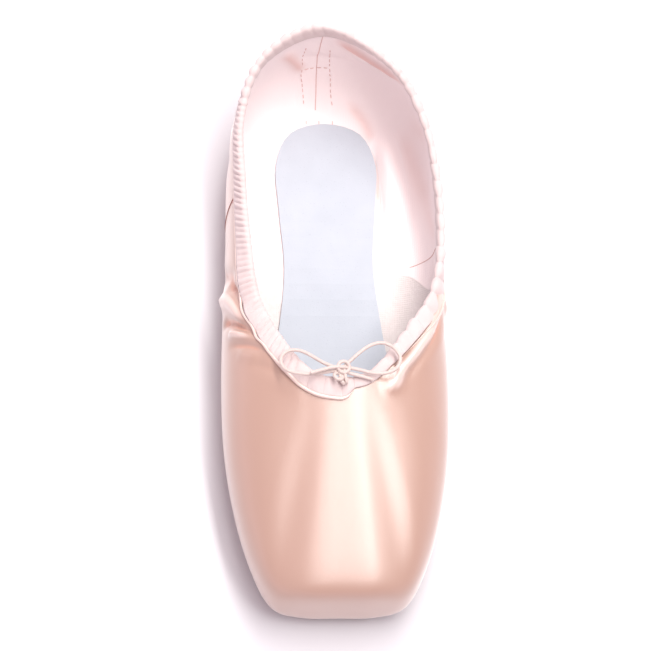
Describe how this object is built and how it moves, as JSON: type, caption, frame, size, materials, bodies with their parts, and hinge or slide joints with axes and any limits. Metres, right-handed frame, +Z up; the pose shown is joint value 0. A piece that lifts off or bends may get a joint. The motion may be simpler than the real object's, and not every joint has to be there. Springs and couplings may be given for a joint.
{
  "type": "pointe shoe",
  "caption": "Satin pointe shoe with a hard flat-ended box, a thin leather sole, a bound gathered collar and a small drawstring bow, standing empty on its sole.",
  "frame": {"origin": "on the floor, under the middle of the shoe's length and width", "axes": "+Y from the toe to the heel, +Z up, +X to the right as the toe points towards the viewer"},
  "size_m": [0.0904, 0.2368, 0.0572],
  "materials": {
    "satin": "glossy peach-pink satin",
    "tape": "matt pale pink cotton tape",
    "leather": "matt natural leather",
    "suede": "pale grey brushed suede",
    "elastic": "pale pink round elastic"
  },
  "bodies": {
    "root": {"upper": "satin", "collar_binding": "tape", "outsole": "leather", "insole": "suede", "drawstring_knot": "elastic", "drawstring_lead": "elastic", "drawstring_loop_left": "elastic", "drawstring_loop_right": "elastic", "drawstring_tail_left": "elastic", "drawstring_tail_right": "elastic"}
  },
  "joints": []
}
